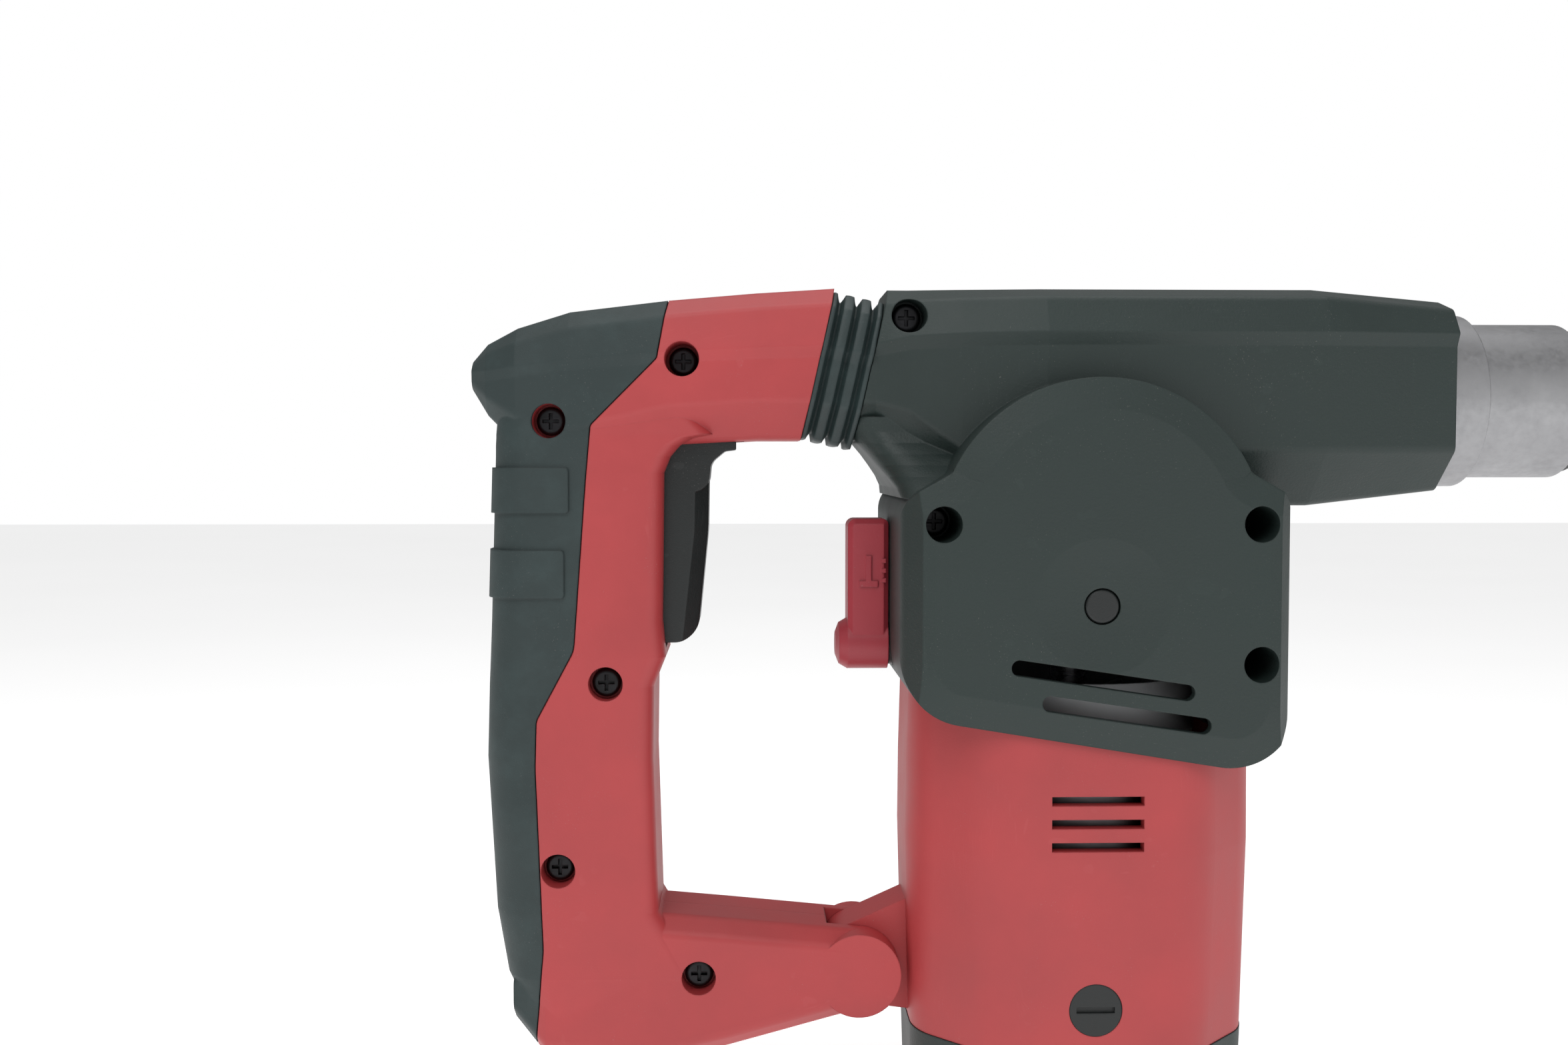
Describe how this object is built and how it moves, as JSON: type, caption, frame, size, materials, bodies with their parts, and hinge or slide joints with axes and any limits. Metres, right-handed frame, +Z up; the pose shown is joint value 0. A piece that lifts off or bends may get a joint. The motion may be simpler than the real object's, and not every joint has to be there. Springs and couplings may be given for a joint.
{
  "type": "rotary hammer",
  "caption": "L-shaped rotary hammer with vertical motor, sprung D-handle, long trigger, mode lever and pull-back tool holder.",
  "frame": {"origin": "centre of the tool socket at the front face of the spindle", "axes": "+X out of the tool socket, away from the handle; +Z up, away from the motor; +Y to the left of someone holding the grip"},
  "size_m": [0.373, 0.084, 0.2349],
  "materials": {
    "housing_plastic": "fine matt grain",
    "red_plastic": "satin",
    "soft_grip": "matt",
    "bellows_rubber": "satin",
    "black_plastic": "satin",
    "screw_steel": "black oxide",
    "steel": "ground",
    "dark_steel": "hardened",
    "spring_steel": "drawn wire",
    "light_alloy": "cast",
    "lamination": "stacked sheet",
    "copper": "enamelled wire",
    "grey_plastic": "satin",
    "seal_rubber": "matt",
    "carbon": "graphite"
  },
  "bodies": {
    "housing": {"gear_housing_right": "housing_plastic", "gear_housing_left": "housing_plastic", "housing_screws": "screw_steel", "plug_right": "black_plastic", "plug_left": "black_plastic", "selector_disc": "black_plastic", "motor_housing": "red_plastic", "end_cover": "housing_plastic", "cover_screws": "screw_steel", "brush_caps": "black_plastic", "brush_holders": "grey_plastic", "air_baffle": "grey_plastic", "carbon_brushes": "carbon", "stator_core": "lamination", "stator_coils": "copper", "rotor_bearings": "steel", "gear_case": "light_alloy", "crank_bearings": "steel", "lay_bearings": "steel", "spindle_bearing": "steel", "front_seal": "seal_rubber"},
    "handle": {"handle_right": "red_plastic", "handle_left": "red_plastic", "grip_cover_right": "soft_grip", "grip_cover_left": "soft_grip", "handle_screws": "screw_steel", "handle_pivot_pin": "steel", "bellows": "bellows_rubber", "handle_spring": "spring_steel", "trigger_pin": "steel", "switch": "black_plastic", "cord_gland": "bellows_rubber"},
    "trigger": {"trigger": "black_plastic"},
    "switch_plunger": {"switch_plunger": "grey_plastic"},
    "selector": {"mode_lever": "red_plastic", "selector_shaft": "steel"},
    "rotor": {"rotor_shaft": "steel", "rotor_core": "lamination", "fan": "grey_plastic", "commutator": "copper"},
    "crank": {"crank_gear": "dark_steel"},
    "lay_shaft": {"lay_gear": "dark_steel"},
    "spindle": {"spindle": "steel", "tool_holder": "steel", "bevel_gear": "dark_steel", "dust_cap": "bellows_rubber", "locking_balls": "steel", "ball_retainer": "steel", "sleeve_spring": "spring_steel", "spring_seat": "steel"},
    "sleeve": {"chuck_sleeve": "black_plastic"},
    "piston": {"piston": "light_alloy", "wrist_pin": "steel", "piston_ring": "seal_rubber"},
    "con_rod": {"con_rod": "light_alloy"},
    "striker": {"striker": "dark_steel", "striker_ring": "seal_rubber"},
    "impact_bolt": {"impact_bolt": "dark_steel"}
  },
  "joints": [
    {"name": "handle_pivot", "type": "hinge", "parent": "housing", "child": "handle", "pos_m": [-0.264, 0, -0.158], "axis": [0, 1, 0], "range_deg": [0, 1.3], "stiffness_Nm_per_rad": 400, "springref_deg": -0.57, "deforming": ["bellows", "handle_spring"]},
    {"name": "trigger_pull", "type": "hinge", "parent": "handle", "child": "trigger", "pos_m": [-0.303, 0, -0.001], "axis": [0, 1, 0], "range_deg": [0, 6], "stiffness_Nm_per_rad": 1.5, "springref_deg": -4.58},
    {"name": "plunger_slide", "type": "slide", "parent": "handle", "child": "switch_plunger", "axis": [-1, 0, 0], "range_m": [0, 0.0051]},
    {"name": "mode_turn", "type": "hinge", "parent": "housing", "child": "selector", "pos_m": [-0.261, 0, -0.068], "axis": [1, 0, 0], "range_deg": [-90, 90]},
    {"name": "rotor_spin", "type": "hinge", "parent": "housing", "child": "rotor", "pos_m": [-0.204, 0, -0.12], "axis": [0, 0, 1], "continuous": true},
    {"name": "crank_spin", "type": "hinge", "parent": "housing", "child": "crank", "pos_m": [-0.225, 0, -0.04], "axis": [0, 0, 1], "continuous": true},
    {"name": "lay_spin", "type": "hinge", "parent": "housing", "child": "lay_shaft", "pos_m": [-0.184, 0, -0.04], "axis": [0, 0, 1], "continuous": true},
    {"name": "spindle_spin", "type": "hinge", "parent": "housing", "child": "spindle", "pos_m": [-0.144, 0, 0], "axis": [1, 0, 0], "continuous": true},
    {"name": "sleeve_pull", "type": "slide", "parent": "spindle", "child": "sleeve", "axis": [-1, 0, 0], "range_m": [0, 0.005], "stiffness_N_per_m": 2000, "springref_m": -0.003, "deforming": ["sleeve_spring"]},
    {"name": "piston_slide", "type": "slide", "parent": "housing", "child": "piston", "axis": [-1, 0, 0], "range_m": [0, 0.018]},
    {"name": "con_rod_swing", "type": "hinge", "parent": "piston", "child": "con_rod", "pos_m": [-0.168, 0, 0], "axis": [0, 0, 1], "range_deg": [-10.8, 10.8]},
    {"name": "striker_slide", "type": "slide", "parent": "housing", "child": "striker", "axis": [1, 0, 0], "range_m": [0, 0.004]},
    {"name": "impact_bolt_slide", "type": "slide", "parent": "housing", "child": "impact_bolt", "axis": [1, 0, 0], "range_m": [0, 0.0035]}
  ],
  "couplings": [
    {"joint": "plunger_slide", "follows": "trigger_pull", "m_per_rad": 0.0478},
    {"joint": "crank_spin", "follows": "rotor_spin", "ratio": -0.27273},
    {"joint": "lay_spin", "follows": "rotor_spin", "ratio": -0.29032},
    {"joint": "spindle_spin", "follows": "rotor_spin", "ratio": -0.10753}
  ]
}
